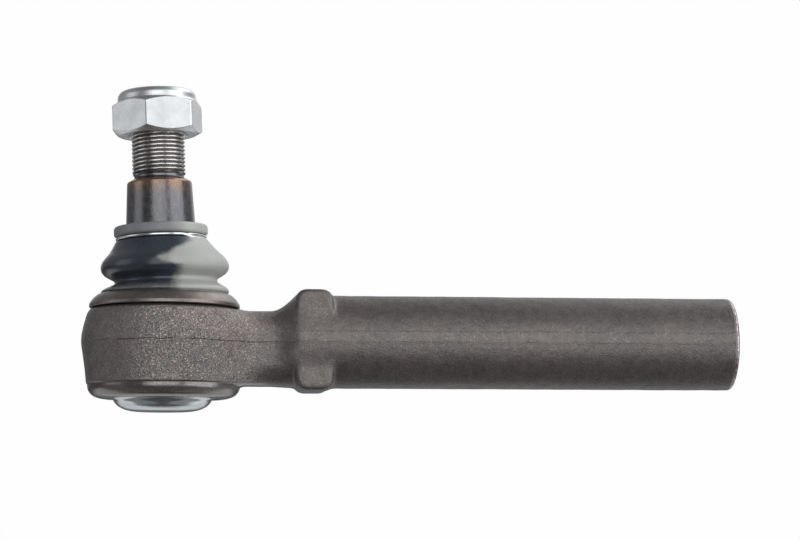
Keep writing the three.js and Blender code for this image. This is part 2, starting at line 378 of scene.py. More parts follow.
# forged and phosphated steel, with the trimmed flash line
def forged_material():
    m, nt, p = material("forged_steel")
    pos = position(nt)
    xyz = separate(nt, pos)
    skin = attribute(nt, "skin")
    broad = noise_tex(nt, pos, 0.045, 3.0, 0.5)
    cloud = noise_tex(nt, pos, 0.35, 5.0, 0.6)
    grain = noise_tex(nt, pos, 1.55, 2.5, 0.6, 0.6)
    fine = noise_tex(nt, pos, 5.0, 2.0, 0.6)
    col = ramp(nt, broad, [(0.3, (0.142, 0.131, 0.123)), (0.5, (0.163, 0.144, 0.134)), (0.7, (0.176, 0.150, 0.140))])
    tint = ramp(nt, cloud, [(0.3, (0.78, 0.80, 0.80)), (0.5, (1.0, 1.0, 1.0)), (0.72, (1.18, 1.13, 1.10))])
    col = mix(nt, 1.0, col, tint, "MULTIPLY")
    # the blast is stronger on the head than on the shank; its second factor is painted shade, which makes the head's
    # left side (x below -3 mm) darker and less speckled
    blast_and_painted_shade = maths(nt, "MULTIPLY", map_range(nt, xyz[0], 22.0, 46.0, 1.0, 0.40, True), map_range(nt, xyz[0], -16.0, -3.0, 0.55, 1.0, True))
    # grain tone, with its brightest specks painted up to 2.3 times brighter as painted glints
    grain_and_painted_glints = ramp(nt, grain, [(0.34, (0.66, 0.66, 0.66)), (0.50, (0.98, 0.98, 0.98)), (0.57, (1.22, 1.20, 1.18)), (0.65, (2.3, 2.22, 2.15))])
    col = mix(nt, map_range(nt, blast_and_painted_shade, 0.35, 1.0, 0.15, 1.0), col, grain_and_painted_glints, "MULTIPLY")
    lift = map_range(nt, blast_and_painted_shade, 0.40, 1.0, 0.86, 1.58)
    col = mix(nt, 1.0, col, combine(nt, lift, lift, lift), "MULTIPLY")
    # the flash line: a dark crack with bright bits beside it, broken along its length
    wob = noise_tex(nt, pos, 0.16, 4.0, 0.6)
    zc = maths(nt, "ADD", xyz[2], maths(nt, "MULTIPLY", maths(nt, "SUBTRACT", wob, 0.5), 1.5))
    low = maths(nt, "ABSOLUTE", maths(nt, "ADD", zc, 1.05))
    broken = noise_tex(nt, pos, 0.11, 3.0, 0.6)
    crack = maths(nt, "MULTIPLY", map_range(nt, low, 0.04, 0.24, 0.9, 0.0, True), map_range(nt, broken, 0.40, 0.50, 0.25, 1.0, True))
    crack = maths(nt, "MULTIPLY", crack, attribute(nt, "front"))
    crack = maths(nt, "MULTIPLY", crack, map_range(nt, xyz[0], 26.0, 48.0, 1.0, 0.18, True))
    bits = maths(nt, "MULTIPLY", map_range(nt, maths(nt, "ABSOLUTE", maths(nt, "ADD", zc, 0.72)), 0.1, 0.5, 1.0, 0.0, True),
                 map_range(nt, noise_tex(nt, pos, 1.1, 3.0, 0.7), 0.56, 0.66, 0.0, 1.0, True))
    up = maths(nt, "ABSOLUTE", maths(nt, "SUBTRACT", zc, 2.9))
    bits2 = maths(nt, "MULTIPLY", map_range(nt, up, 0.1, 0.42, 1.0, 0.0, True),
                  map_range(nt, noise_tex(nt, pos, 0.8, 4.0, 0.7), 0.5, 0.64, 0.0, 1.0, True))
    bright = maths(nt, "MULTIPLY", maths(nt, "MAXIMUM", bits, bits2), attribute(nt, "front"))
    # the trimmed land is a little paler, rubbed bright in places along the shank
    band = maths(nt, "MULTIPLY", map_range(nt, maths(nt, "ABSOLUTE", maths(nt, "SUBTRACT", zc, 1.2)), 0.6, 3.2, 1.0, 0.0, True), attribute(nt, "front"))
    band = maths(nt, "MULTIPLY", band, map_range(nt, xyz[0], 32.0, 50.0, 0.15, 1.0, True))
    rubbed = map_range(nt, noise_tex(nt, pos, 1.1, 5.0, 0.75), 0.54, 0.68, 0.0, 1.0, True)
    patch = map_range(nt, noise_tex(nt, pos, 0.05, 2.0, 0.5), 0.40, 0.58, 0.15, 1.0, True)
    col = mix(nt, maths(nt, "MULTIPLY", band, 0.10), col, (0.225, 0.205, 0.185))
    col = mix(nt, maths(nt, "MULTIPLY", maths(nt, "MULTIPLY", band, rubbed), maths(nt, "MULTIPLY", patch, 0.42)), col, (0.44, 0.41, 0.38))
    col = mix(nt, maths(nt, "MULTIPLY", bright, 0.45), col, (0.46, 0.42, 0.38))
    col = mix(nt, maths(nt, "MULTIPLY", crack, 0.85), col, (0.018, 0.013, 0.011))
    # machined skin: smoother and a little browner
    col = mix(nt, maths(nt, "MULTIPLY", maths(nt, "SUBTRACT", 1.0, skin), 0.75), col, (0.165, 0.148, 0.138))
    # painted highlight: a bright band along the chamfer at the shank's end, broken up by noise
    edge = maths(nt, "ABSOLUTE", maths(nt, "SUBTRACT", maths(nt, "ADD", xyz[0], maths(nt, "MULTIPLY", maths(nt, "SUBTRACT", wob, 0.5), 0.8)), REACH - 0.8))
    lighter_band = maths(nt, "MULTIPLY", map_range(nt, edge, 0.12, 0.42, 1.0, 0.0, True), map_range(nt, noise_tex(nt, pos, 0.7, 4.0, 0.7), 0.44, 0.58, 0.0, 1.0, True))
    col = mix(nt, maths(nt, "MULTIPLY", lighter_band, 0.8), col, (0.56, 0.52, 0.48))
    link(nt, col, p.inputs["Base Color"])
    p.inputs["Metallic"].default_value = 0.72
    rough = map_range(nt, grain, 0.3, 0.7, 0.40, 0.27)
    rough = maths(nt, "ADD", rough, map_range(nt, blast_and_painted_shade, 0.40, 0.9, 0.10, 0.0))
    rough = maths(nt, "SUBTRACT", rough, maths(nt, "MULTIPLY", maths(nt, "SUBTRACT", 1.0, skin), 0.18))
    link(nt, rough, p.inputs["Roughness"])
    # the head was blasted harder than the shank
    h = maths(nt, "ADD", maths(nt, "MULTIPLY", grain, 4.2), maths(nt, "MULTIPLY", fine, 0.3))
    h = maths(nt, "MULTIPLY", h, maths(nt, "MULTIPLY", blast_and_painted_shade, blast_and_painted_shade))
    h = maths(nt, "ADD", h, maths(nt, "MULTIPLY", cloud, 0.6))
    h = maths(nt, "MULTIPLY", h, map_range(nt, skin, 0.0, 1.0, 0.06, 1.0))
    h = maths(nt, "SUBTRACT", h, maths(nt, "MULTIPLY", crack, 0.9))
    h = maths(nt, "ADD", h, maths(nt, "MULTIPLY", bright, 0.45))
    nrm = bump(nt, h, 0.85, 0.00030)
    link(nt, nrm, p.inputs["Normal"])
    return m


def stud_material():
    """Ground steel with a heat tint above the boot, plain steel on the thread."""
    m, nt, p = material("stud_steel")
    pos = position(nt)
    xyz = separate(nt, pos)
    mp = node(nt, "ShaderNodeMapping")
    mp.inputs["Scale"].default_value = (1.0, 1.0, 0.38)
    link(nt, pos, mp.inputs["Vector"])
    streak = noise_tex(nt, mp.outputs[0], 0.8, 6.0, 0.68)
    cloud = noise_tex(nt, pos, 0.22, 4.0, 0.6)
    rings = node(nt, "ShaderNodeMapping")
    rings.inputs["Scale"].default_value = (0.15, 0.15, 9.0)
    link(nt, pos, rings.inputs["Vector"])
    lathe_marks = noise_tex(nt, rings.outputs[0], 1.0, 2.0, 0.5)
    z = maths(nt, "ADD", xyz[2], maths(nt, "MULTIPLY", maths(nt, "SUBTRACT", cloud, 0.5), 7.0))
    tint = ramp(nt, map_range(nt, z, 38.0, 68.0), [
        (0.0, (0.115, 0.120, 0.126)), (0.30, (0.132, 0.131, 0.133)), (0.54, (0.140, 0.133, 0.140)),
        (0.66, (0.205, 0.150, 0.125)), (0.72, (0.270, 0.170, 0.118)), (0.80, (0.300, 0.270, 0.250)), (0.9, (0.52, 0.50, 0.48)), (1.0, (0.55, 0.53, 0.51))])
    var = ramp(nt, streak, [(0.32, (0.70, 0.72, 0.76)), (0.5, (1.0, 1.0, 1.0)), (0.70, (1.45, 1.34, 1.26))])
    col = mix(nt, 0.7, tint, var, "MULTIPLY")
    # painted shade: the thread's roots are painted near black
    root = attribute(nt, "root")
    col = mix(nt, maths(nt, "MULTIPLY", root, 0.85), col, (0.07, 0.06, 0.055))
    groove = maths(nt, "MULTIPLY", map_range(nt, xyz[2], 61.2, 61.5, 0.0, 1.0, True), map_range(nt, xyz[2], 62.9, 63.4, 1.0, 0.0, True))
    col = mix(nt, maths(nt, "MULTIPLY", groove, 0.8), col, (0.125, 0.135, 0.155))
    foot = map_range(nt, maths(nt, "ABSOLUTE", maths(nt, "SUBTRACT", xyz[2], 61.0)), 0.25, 0.6, 1.0, 0.0, True)
    col = mix(nt, maths(nt, "MULTIPLY", foot, 0.85), col, (0.045, 0.032, 0.026))
    link(nt, col, p.inputs["Base Color"])
    p.inputs["Metallic"].default_value = 0.92
    rough = map_range(nt, streak, 0.3, 0.75, 0.17, 0.36)
    rough = maths(nt, "ADD", rough, maths(nt, "MULTIPLY", root, 0.2))
    link(nt, rough, p.inputs["Roughness"])
    h = maths(nt, "ADD", maths(nt, "MULTIPLY", streak, 0.5), maths(nt, "MULTIPLY", lathe_marks, 0.35))
    link(nt, bump(nt, h, 0.35, 0.00012), p.inputs["Normal"])
    return m


def zinc_material(name, base, rough_lo, rough_hi, grain_scale=1.4, strength=0.22):
    m, nt, p = material(name)
    pos = position(nt)
    cloud = noise_tex(nt, pos, 0.16, 4.0, 0.6)
    grain = noise_tex(nt, pos, grain_scale, 4.0, 0.6)
    mp = node(nt, "ShaderNodeMapping")
    mp.inputs["Scale"].default_value = (1.0, 1.0, 0.2)
    link(nt, pos, mp.inputs["Vector"])
    scuff = noise_tex(nt, mp.outputs[0], 2.2, 6.0, 0.75)
    c1 = tuple(x * 0.86 for x in base)
    c2 = tuple(min(1.0, x * 1.08) for x in base)
    col = ramp(nt, cloud, [(0.3, c1), (0.7, c2)])
    var = ramp(nt, scuff, [(0.30, (0.80, 0.80, 0.78)), (0.45, (1.0, 1.0, 1.0)), (0.75, (1.05, 1.05, 1.05))])
    col = mix(nt, 0.6, col, var, "MULTIPLY")
    link(nt, col, p.inputs["Base Color"])
    p.inputs["Metallic"].default_value = 0.95
    link(nt, map_range(nt, grain, 0.3, 0.7, rough_lo, rough_hi), p.inputs["Roughness"])
    h = maths(nt, "ADD", maths(nt, "MULTIPLY", grain, 0.5), maths(nt, "MULTIPLY", scuff, 0.3))
    link(nt, bump(nt, h, strength, 0.0001), p.inputs["Normal"])
    return m


def press_ring_material():
    m, nt, p = material("phosphated_steel")
    pos = position(nt)
    cloud = noise_tex(nt, pos, 0.25, 4.0, 0.6)
    fine = noise_tex(nt, pos, 3.0, 4.0, 0.65)
    col = ramp(nt, cloud, [(0.3, (0.165, 0.142, 0.130)), (0.7, (0.235, 0.204, 0.186))])
    var = ramp(nt, fine, [(0.35, (0.85, 0.85, 0.85)), (0.7, (1.15, 1.12, 1.10))])
    link(nt, mix(nt, 0.7, col, var, "MULTIPLY"), p.inputs["Base Color"])
    p.inputs["Metallic"].default_value = 0.85
    link(nt, map_range(nt, fine, 0.3, 0.7, 0.30, 0.42), p.inputs["Roughness"])
    link(nt, bump(nt, fine, 0.25, 0.0001), p.inputs["Normal"])
    return m


def rubber_material(name, base, rough, lip_and_painted_reflection=False):
    m, nt, p = material(name)
    pos = position(nt)
    cloud = noise_tex(nt, pos, 0.12, 4.0, 0.55)
    fine = noise_tex(nt, pos, 3.2, 4.0, 0.6)
    dust = noise_tex(nt, pos, 0.5, 6.0, 0.7)
    c1 = tuple(x * 0.85 for x in base)
    c2 = tuple(x * 1.2 for x in base)
    col = ramp(nt, cloud, [(0.3, c1), (0.7, c2)])
    col = mix(nt, map_range(nt, dust, 0.5, 0.8, 0.0, 0.35), col, tuple(x * 1.7 for x in base))
    rgh = map_range(nt, fine, 0.3, 0.7, rough - 0.04, rough + 0.05)
    if lip_and_painted_reflection:
        # the lip and the foot are matt grey; the pale grey over the right side and the back of the bellows is a
        # painted reflection of the lights on that side
        lighter_band = maths(nt, "MULTIPLY", attribute(nt, "lip_and_painted_reflection"), map_range(nt, dust, 0.25, 0.6, 0.8, 1.0))
        col = mix(nt, lighter_band, col, (0.190, 0.196, 0.196))
        foot = maths(nt, "MULTIPLY", attribute(nt, "foot"), map_range(nt, dust, 0.3, 0.65, 0.5, 1.0))
        col = mix(nt, maths(nt, "MULTIPLY", foot, 0.6), col, (0.150, 0.150, 0.138))
        # painted reflection: pale grey from an edge set by height round to the back, its edge made ragged by noise and
        # softer on the lip
        ragged = maths(nt, "MULTIPLY", maths(nt, "SUBTRACT", noise_tex(nt, pos, 0.30, 4.0, 0.6), 0.5), 16.0)
        spread = maths(nt, "MULTIPLY", attribute(nt, "lip_and_painted_reflection"), 11.0)
        painted_reflection = map_range(nt, maths(nt, "DIVIDE", maths(nt, "ADD", attribute(nt, "side"), ragged), maths(nt, "ADD", spread, 7.5)), -1.0, 1.0, 0.0, 1.0, True)
        painted_reflection_grey = ramp(nt, cloud, [(0.3, (0.345, 0.345, 0.318)), (0.7, (0.385, 0.385, 0.355))])
        col = mix(nt, maths(nt, "MULTIPLY", painted_reflection, 0.97), col, painted_reflection_grey)
        rgh = maths(nt, "ADD", rgh, maths(nt, "MULTIPLY", maths(nt, "MAXIMUM", lighter_band, painted_reflection), 0.24))
    link(nt, col, p.inputs["Base Color"])
    link(nt, rgh, p.inputs["Roughness"])
    link(nt, bump(nt, fine, 0.10, 0.00008), p.inputs["Normal"])
    return m


def plastic_material(name, base):
    m, nt, p = material(name)
    pos = position(nt)
    cloud = noise_tex(nt, pos, 0.2, 4.0, 0.55)
    fine = noise_tex(nt, pos, 2.0, 4.0, 0.6)
    col = ramp(nt, cloud, [(0.3, tuple(x * 0.92 for x in base)), (0.7, base)])
    link(nt, col, p.inputs["Base Color"])
    link(nt, map_range(nt, fine, 0.3, 0.7, 0.40, 0.52), p.inputs["Roughness"])
    p.inputs["Subsurface Weight"].default_value = 0.1
    p.inputs["Subsurface Scale"].default_value = 0.001
    link(nt, bump(nt, fine, 0.12, 0.00008), p.inputs["Normal"])
    return m


MAT = {
    "forged": forged_material(),
    "stud": stud_material(),
    "nut": zinc_material("zinc_nut", (0.63, 0.635, 0.63), 0.28, 0.40),
    "cap": zinc_material("zinc_cap", (0.56, 0.58, 0.58), 0.13, 0.22, 1.0, 0.22),
    "wire": zinc_material("zinc_wire", (0.72, 0.73, 0.72), 0.16, 0.26),
    "press": press_ring_material(),
    "boot": rubber_material("boot_rubber", (0.028, 0.034, 0.043), 0.24, True),
    "nitrile": rubber_material("nitrile", (0.012, 0.012, 0.013), 0.55),
    "acetal": plastic_material("acetal", (0.75, 0.72, 0.64)),
    "nylon": plastic_material("nylon", (0.80, 0.79, 0.72)),
    "spring": zinc_material("spring_steel", (0.12, 0.125, 0.13), 0.30, 0.45),
}


# ---------------------------------------------------------------- the forging
def smooth_table(table, sigma=0.9, step=0.2):
    t = np.array(table, float)
    x = np.arange(t[0, 0] - 6, t[-1, 0] + 6, step)
    cols = [np.interp(x, t[:, 0], t[:, k]) for k in range(1, t.shape[1])]
    half = int(4 * sigma / step)
    k = np.exp(-0.5 * ((np.arange(-half, half + 1) * step) / sigma) ** 2)
    k /= k.sum()
    return x, [np.convolve(np.pad(c, half, mode="edge"), k, "valid") for c in cols]


# the arm's sections: x, low z, high z, half width, corner radius
ARM = [
    (8.0, -16.6, 11.2, 13.4, 9.0),
    (40.6, -16.8, 11.2, 13.6, 9.5),
    (42.8, -16.95, 12.0, 14.2, 10.5),
    (45.0, -17.1, 13.6, 15.1, 12.0),
    (47.0, -17.3, 15.4, 16.1, 14.0),
    (48.8, -17.4, 16.9, 17.0, 16.0),
    (50.4, -17.5, 17.5, 17.5, 17.5),
    (222.0, -17.5, 17.5, 17.5, 17.5),
]
ARM_X, ARM_C = smooth_table(ARM, 0.75)

HEAD_OUT = rounded([
    (0.0, -21.7), (23.6, -21.7, 1.8), (26.7, -20.5, 1.8), (28.25, -18.4, 1.6), (28.45, -16.35, 0.1),
    (28.75, -16.05, 0.1), (29.35, -11.2, 3.0), (30.2, -5.2, 3.0), (30.68, -2.0, 2.0), (30.82, 0.2, 2.0), (30.6, 2.6, 2.0),
    (29.95, 5.8, 3.0), (28.95, 9.8, 1.6), (27.6, 11.95, 1.4), (22.0, 12.0, 0.2), (22.0, 15.6, 0.4), (0.0, 15.6),
], steps=5)
CAVITY = [
    (0.0, -24.0), (20.7, -24.0), (20.7, -20.6), (23.3, -20.6), (23.3, -18.2), (22.7, -18.2), (22.7, -16.6),
    (21.0, -16.6), (21.0, 3.0), (19.7, 8.0), (16.4, 11.0), (15.7, 12.2), (16.6, 15.0), (17.4, 17.0), (0.0, 17.0),
]


def polygon_table(points, r_hi, z_lo, z_hi, step):
    """Signed distance (negative inside) to a closed [r, z] polygon on a grid."""
    P = np.array(points, float)
    Q = np.roll(P, -1, 0)
    r = np.arange(0, r_hi, step)
    z = np.arange(z_lo, z_hi, step)
    R, Z = np.meshgrid(r, z, indexing="ij")
    d2 = np.full(R.shape, 1e9)
    inside = np.zeros(R.shape, bool)
    for (ax, az), (bx, bz) in zip(P, Q):
        ex, ez = bx - ax, bz - az
        le = ex * ex + ez * ez
        if le < 1e-12:
            continue
        # the edge on the axis is no wall
        if not (ax < 1e-6 and bx < 1e-6):
            t = np.clip(((R - ax) * ex + (Z - az) * ez) / le, 0, 1)
            d2 = np.minimum(d2, (R - ax - t * ex) ** 2 + (Z - az - t * ez) ** 2)
        if (az > bz) != (bz > az) or True:
            cond = (az > Z) != (bz > Z)
            if abs(bz - az) > 1e-12:
                xx = ax + (Z - az) / (bz - az) * (bx - ax)
                inside ^= cond & (R < xx)
    d = np.sqrt(d2)
    d[inside] *= -1
    return d.astype(np.float32), z_lo, step


def table_lookup(tab, r, z):
    d, z0, step = tab
    fr = np.clip(r / step, 0, d.shape[0] - 1.001)
    fz = np.clip((z - z0) / step, 0, d.shape[1] - 1.001)
    i, j = fr.astype(int), fz.astype(int)
    a, b = fr - i, fz - j
    return (d[i, j] * (1 - a) * (1 - b) + d[i + 1, j] * a * (1 - b) + d[i, j + 1] * (1 - a) * b + d[i + 1, j + 1] * a * b)


HEAD_T = polygon_table(HEAD_OUT, 60, -40, 40, 0.12)
CAV_T = polygon_table(CAVITY, 60, -40, 40, 0.12)


def smin(a, b, k):
    h = np.clip(0.5 + 0.5 * (b - a) / k, 0, 1)
    return b + (a - b) * h - k * h * (1 - h)


def smax(a, b, k):
    return -smin(-a, -b, k)


def arm_distance(x, y, z):
    zl, zh, hy, cr = (np.interp(x, ARM_X, c) for c in ARM_C)
    hz = (zh - zl) / 2
    zc = (zh + zl) / 2
    c = np.minimum(np.minimum(cr, hy), hz)
    qy = np.abs(y) - (hy - c)
    qz = np.abs(z - zc) - (hz - c)
    tube = np.hypot(np.maximum(qy, 0), np.maximum(qz, 0)) + np.minimum(np.maximum(qy, qz), 0) - c
    # two flat lugs for the wrench, above and below the arm
    lug = smax(smax(np.abs(x - 55.5) - 7.1, np.abs(z) - 18.8, 5.0), np.abs(y) - 15.3, 2.2)
    return smin(tube, lug, 1.6)


def forging_distance(x, y, z):
    r = np.hypot(x, y)
    head = table_lookup(HEAD_T, r, z)
    arm = arm_distance(x, y, z)
    # the shank's end: faced off, with a rounded outer edge
    shank_r = np.hypot(y, z)
    end = smax(x - REACH, (x - REACH + shank_r - 16.9) * 0.7071, 0.5)
    arm = smax(arm, end, 0.7)
    arm = np.maximum(arm, 9.0 - x)
    # the fillet between head and neck is large at the sides, small at the machined rim
    k = np.interp(z, [-17.5, -14.5, 9.0, 12.0], [1.2, 8.0, 8.0, 2.0])
    d = smin(head, arm, k)
    # the spigot and the top face stay clear of the neck's fillet
    # trimmed flash: a narrow land around the outline
    band = np.maximum(np.abs(z - 0.85) - 1.95, 0)
    flat = np.zeros_like(z)
    land = smax(smin(table_lookup(HEAD_T, r, flat), np.maximum(arm_distance(x, y, flat), 9.0 - x), 8.0) - np.interp(x, [24.0, 44.0], [-0.45, -0.16]),
                np.abs(z - 0.85) - 1.95, 0.35)
    land = np.maximum(land, x - REACH + 3.0)
    d = smin(d, land, 0.5)
    cav = table_lookup(CAV_T, r, z)
    d = np.maximum(d, -cav)
    bore = np.maximum(shank_r - 12.6, (REACH - 97.0) - x)
    return np.maximum(d, -bore)


def axis(*parts):
    """Grid positions from (start, step) pairs and a last end."""
    out = []
    for (a, s), (b, _) in zip(parts[:-1], parts[1:]):
        n = max(1, round((b - a) / s))
        out.extend(a + (b - a) * i / n for i in range(n))
    out.append(parts[-1][0])
    return np.array(out)


def surface_net(f, X, Y, Z):
    g = [a.astype(np.float32) for a in (X, Y, Z)]
    d = np.empty((len(X), len(Y), len(Z)), np.float32)
    yy, zz = np.meshgrid(g[1], g[2], indexing="ij")
    for i in range(0, len(X), 24):
        xs = g[0][i : i + 24]
        xx = np.broadcast_to(xs[:, None, None], (len(xs), *yy.shape))
        d[i : i + 24] = f(xx, np.broadcast_to(yy, xx.shape), np.broadcast_to(zz, xx.shape))
    s = d < 0
    nx, ny, nz = d.shape
    total = np.zeros((nx - 1, ny - 1, nz - 1, 3), np.float32)
    count = np.zeros((nx - 1, ny - 1, nz - 1), np.int16)
    crossings = []
    for ax in range(3):
        sl0 = [slice(None)] * 3
        sl1 = [slice(None)] * 3
        sl0[ax], sl1[ax] = slice(0, -1), slice(1, None)
        a, b = d[tuple(sl0)], d[tuple(sl1)]
        hit = s[tuple(sl0)] != s[tuple(sl1)]
        idx = np.argwhere(hit)
        av, bv = a[hit], b[hit]
        t = av / (av - bv)
        p = np.stack([g[k][idx[:, k]] for k in range(3)], 1)
        p[:, ax] += t * (g[ax][idx[:, ax] + 1] - g[ax][idx[:, ax]])
        others = [k for k in range(3) if k != ax]
        crossings.append((ax, idx, s[tuple(sl0)][hit]))
        for o1 in (0, -1):
            for o2 in (0, -1):
                c = idx.copy()
                c[:, others[0]] += o1
                c[:, others[1]] += o2
                ok = np.all((c >= 0) & (c < np.array(count.shape)), axis=1)
                np.add.at(total, tuple(c[ok].T), p[ok])
                np.add.at(count, tuple(c[ok].T), 1)
    active = count > 0
    ids = np.full(count.shape, -1, np.int64)
    ids[active] = np.arange(active.sum())
    verts = total[active] / count[active][:, None]
    faces = []
    for ax, idx, first_inside in crossings:
        o1, o2 = [(1, 2), (2, 0), (0, 1)][ax]
        quad = []
        for d1, d2 in ((0, 0), (-1, 0), (-1, -1), (0, -1)):
            c = idx.copy()
            c[:, o1] += d1
            c[:, o2] += d2
            quad.append(ids[tuple(c.T)])
        q = np.stack(quad, 1)
        # from inside to outside along +axis the quad faces +axis
        q[~first_inside] = q[~first_inside][:, ::-1]
        faces.append(q)
    return verts.astype(float), np.concatenate(faces)


def gradient(f, v, h=0.04):
    out = np.empty_like(v)
    for k in range(3):
        a, b = v.copy(), v.copy()
        a[:, k] += h
        b[:, k] -= h
        out[:, k] = (f(*a.T) - f(*b.T)) / (2 * h)
    return out


def settle(f, v, rounds=4, most=0.35):
    for _ in range(rounds):
        d = f(*v.T)
        g = gradient(f, v)
        n2 = np.maximum((g * g).sum(1), 0.05)
        step = -(d / n2)[:, None] * g
        length = np.linalg.norm(step, axis=1)
        v = v + step * np.minimum(1, most / np.maximum(length, 1e-9))[:, None]
    return v


def relax(v, quads, f, rounds=2):
    """Evens the quads along the surface, then puts the points back on it."""
    n = len(v)
    for _ in range(rounds):
        acc = np.zeros_like(v)
        cnt = np.zeros(n)
        for a, b in ((0, 1), (1, 2), (2, 3), (3, 0)):
            np.add.at(acc, quads[:, a], v[quads[:, b]])
            np.add.at(acc, quads[:, b], v[quads[:, a]])
            np.add.at(cnt, quads[:, a], 1)
            np.add.at(cnt, quads[:, b], 1)
        mean = acc / cnt[:, None]
        g = gradient(f, v)
        g /= np.maximum(np.linalg.norm(g, axis=1), 1e-6)[:, None]
        move = mean - v
        move -= (move * g).sum(1)[:, None] * g
        v = settle(f, v + 0.5 * move, 1)
    return v


def build_forging():
    k = 1.0
    X = axis((-33.0, 0.7 * k), (8.0, 0.7 * k), (66.0, 0.62 * k), (68.0, 1.25 * k), (206.0, 0.8 * k), (211.5, 0.33 * k), (216.2, 1))
    Y = axis((-33.0, 0.72 * k), (33.0, 1))
    Z = axis((-24.0, 0.6 * k), (-17.2, 0.3 * k), (-15.4, 0.7 * k), (-2.2, 0.33 * k), (3.9, 0.7 * k), (10.5, 0.5 * k), (21.5, 1))
    v, q = surface_net(forging_distance, X, Y, Z)
    v = settle(forging_distance, v, 3)
    v = relax(v, q, forging_distance, 1)
    x, y, z = v.T
    r = np.hypot(x, y)
    g = gradient(forging_distance, v)
    g /= np.maximum(np.linalg.norm(g, axis=1), 1e-6)[:, None]
    # where the forged skin is: off the turned rim, the top face, the shank's end and all that is inside
    head_zone = np.clip((40.0 - x) / 4.0, 0, 1)
    skin = np.ones(len(v))
    skin *= 1 - head_zone * np.clip((-15.9 - z) / 0.25, 0, 1)
    skin *= 1 - np.clip((29.5 - r) / 0.5, 0, 1) * np.clip((z - 11.0) / 0.6, 0, 1)
    skin *= 1 - np.clip((x - (REACH - 1.7)) / 0.35, 0, 1)
    skin[(r < 23.6) & (z < 16)] = 0
    skin[(np.hypot(y, z) < 13.0) & (x > 100)] = 0
    low = np.array([
        noise.noise(Vector((a * 0.11, b * 0.11, c * 0.11))) + 0.5 * noise.noise(Vector((a * 0.27 + 9, b * 0.27, c * 0.27)))
        for a, b, c in v
    ])
    mid = np.array([noise.noise(Vector((a * 0.75 + 3, b * 0.75, c * 0.75))) for a, b, c in v])
    v = v + g * (skin * (0.10 * low + 0.030 * mid))[:, None]
    ob = make("housing_forging", to_row(v), q)
    face_out(ob)
    a = ob.data.attributes.new("skin", "FLOAT", "POINT")
    a.data.foreach_set("value", skin.astype(np.float32))
    front = np.clip((np.abs(y) / np.maximum(np.hypot(y, np.minimum(x, 0)), 1e-6)), 0, 1)
    a = ob.data.attributes.new("front", "FLOAT", "POINT")
    a.data.foreach_set("value", (front * skin).astype(np.float32))
    ob.data.set_sharp_from_angle(angle=math.radians(50))
    set_mat(ob, MAT["forged"])
    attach(ob, "socket")
    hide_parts("housing")
    return ob


def thread_wave(phase):
    """Depth share of a thread, 0 at the crest and 1 at the root, by phase from 0 to 1."""
    p = np.abs(phase - 0.5) * 2  # 0 at mid root, 1 at mid crest
    return np.clip((1 - p - 0.30) / 0.55, 0, 1)


def thread_body(name, outline, n, step, pitch, depth, z_range, place, inward=False, fade=1.5, closed=False, shift=0.0):
    """A turned body with a helical thread cut where its run is marked. outline is a list of (r, z, threaded)."""
    run = []
    m = len(outline)
    for i in range(m if closed else m - 1):
        a, b = outline[i], outline[(i + 1) % m]
        cut = a[2] and b[2]
        length = math.hypot(b[0] - a[0], b[1] - a[1])
        k = max(1, int(math.ceil(length / step))) if cut else max(1, int(math.ceil(length / 2.5)))
        for j in range(k):
            s = j / k
            run.append((a[0] + (b[0] - a[0]) * s, a[1] + (b[1] - a[1]) * s, 1.0 if cut else 0.0))
    if not closed:
        run.append((outline[-1][0], outline[-1][1], 0.0))
    if run_area(run) < 0:
        run = run[::-1]
    v, f, rows = lathe_mesh([(a, b) for a, b, _ in run], n, closed)
    cut = np.array([c for _, _, c in run])[rows]
    ang = np.arctan2(v[:, 1], v[:, 0])
    z = v[:, 2]
    phase = np.mod(z / pitch - ang / (2 * math.pi) + shift, 1.0)
    ease = np.clip(np.minimum(z - z_range[0], z_range[1] - z) / fade, 0, 1)
    d = thread_wave(phase) * depth * cut * ease
    r = np.hypot(v[:, 0], v[:, 1])
    new = r + d if inward else r - d
    sc = np.where(r > 1e-6, new / np.maximum(r, 1e-6), 1)
    v[:, 0] *= sc
    v[:, 1] *= sc
    ob = make(name, to_row(place(v)), f, 40)
    a = ob.data.attributes.new("root", "FLOAT", "POINT")
    a.data.foreach_set("value", (np.clip(d / max(depth, 1e-6), 0, 1) ** 1.5).astype(np.float32))
    return ob


# ---------------------------------------------------------------- build
build_forging()

# the thread inside the shank: a sleeve that lines the bore, turned about X
def along_x(v):
    return np.stack([v[:, 2], v[:, 0], v[:, 1]], 1)


sleeve = thread_body(
    "shank_thread",
    [(12.55, REACH - 96.5, 0), (12.55, REACH - 0.45, 0), (12.35, REACH - 0.35, 0), (11.3, REACH - 1.5, 1), (11.25, REACH - 94.0, 1),
     (0.001, REACH - 96.0, 0)][:5] + [(11.25, REACH - 94.6, 0), (6.0, REACH - 96.4, 0), (0.0, REACH - 97.2, 0), (0.0, REACH - 98.2, 0), (12.0, REACH - 97.0, 0)],
    72, 0.25, 1.5, 0.85, (REACH - 94.0, REACH - 0.6), along_x, inward=True, fade=1.0, closed=True)
face_out(sleeve)
set_mat(sleeve, MAT["stud"])
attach(sleeve, "socket")

